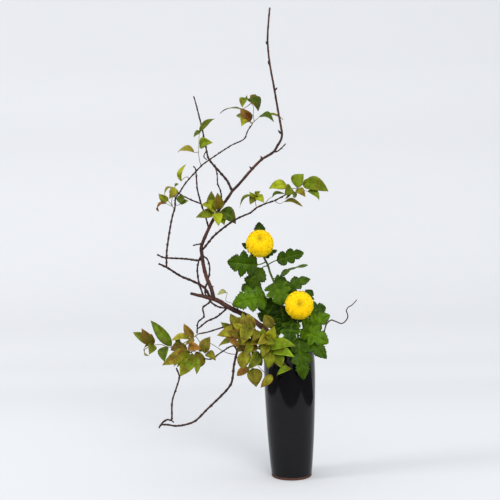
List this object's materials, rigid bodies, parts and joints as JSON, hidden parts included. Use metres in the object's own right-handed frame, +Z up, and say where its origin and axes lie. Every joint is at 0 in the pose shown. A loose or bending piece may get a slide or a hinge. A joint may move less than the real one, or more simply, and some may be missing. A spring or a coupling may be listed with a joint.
{
  "type": "ikebana arrangement",
  "caption": "Asymmetric flower arrangement: crooked leafy branches and yellow pompon chrysanthemums in a tall, slim black vase.",
  "frame": {"origin": "centre of the vase's flat foot, on the table", "axes": "+Z up along the vase's axis; the front, from which the arrangement is seen, faces -Y; +X to the viewer's right, so the branches lean to -X"},
  "size_m": [0.4896, 0.1764, 1.0235],
  "materials": {
    "vase_glaze": "glossy black glaze over stoneware",
    "water": "clear water",
    "crossbar_wood": "cut twig, matte",
    "branch_bark": "thin reddish-brown bark, matte",
    "shrub_leaf": "yellow-green leaf with red-brown tints, satin",
    "mum_green": "dark green leaf, satin",
    "mum_petal": "yellow petals, matte"
  },
  "bodies": {
    "root": {"vase": "vase_glaze", "water": "water", "crossbar_lower": "crossbar_wood", "crossbar_upper": "crossbar_wood", "main_branch": "branch_bark", "drooping_branch": "branch_bark", "tendril_twig": "branch_bark", "spray_top": "shrub_leaf", "spray_upper_left": "shrub_leaf", "leaf_curled": "shrub_leaf", "spray_left": "shrub_leaf", "spray_left_inner": "shrub_leaf", "spray_centre": "shrub_leaf", "spray_right_inner": "shrub_leaf", "spray_right": "shrub_leaf", "leaf_right_upper": "shrub_leaf", "leaf_right_lower": "shrub_leaf", "leaf_small": "shrub_leaf", "spray_lower_left": "shrub_leaf", "spray_front": "shrub_leaf", "mum_tall": "mum_green", "mum_short": "mum_green", "mum_tall_bloom": "mum_petal", "mum_short_bloom": "mum_petal"}
  },
  "joints": []
}
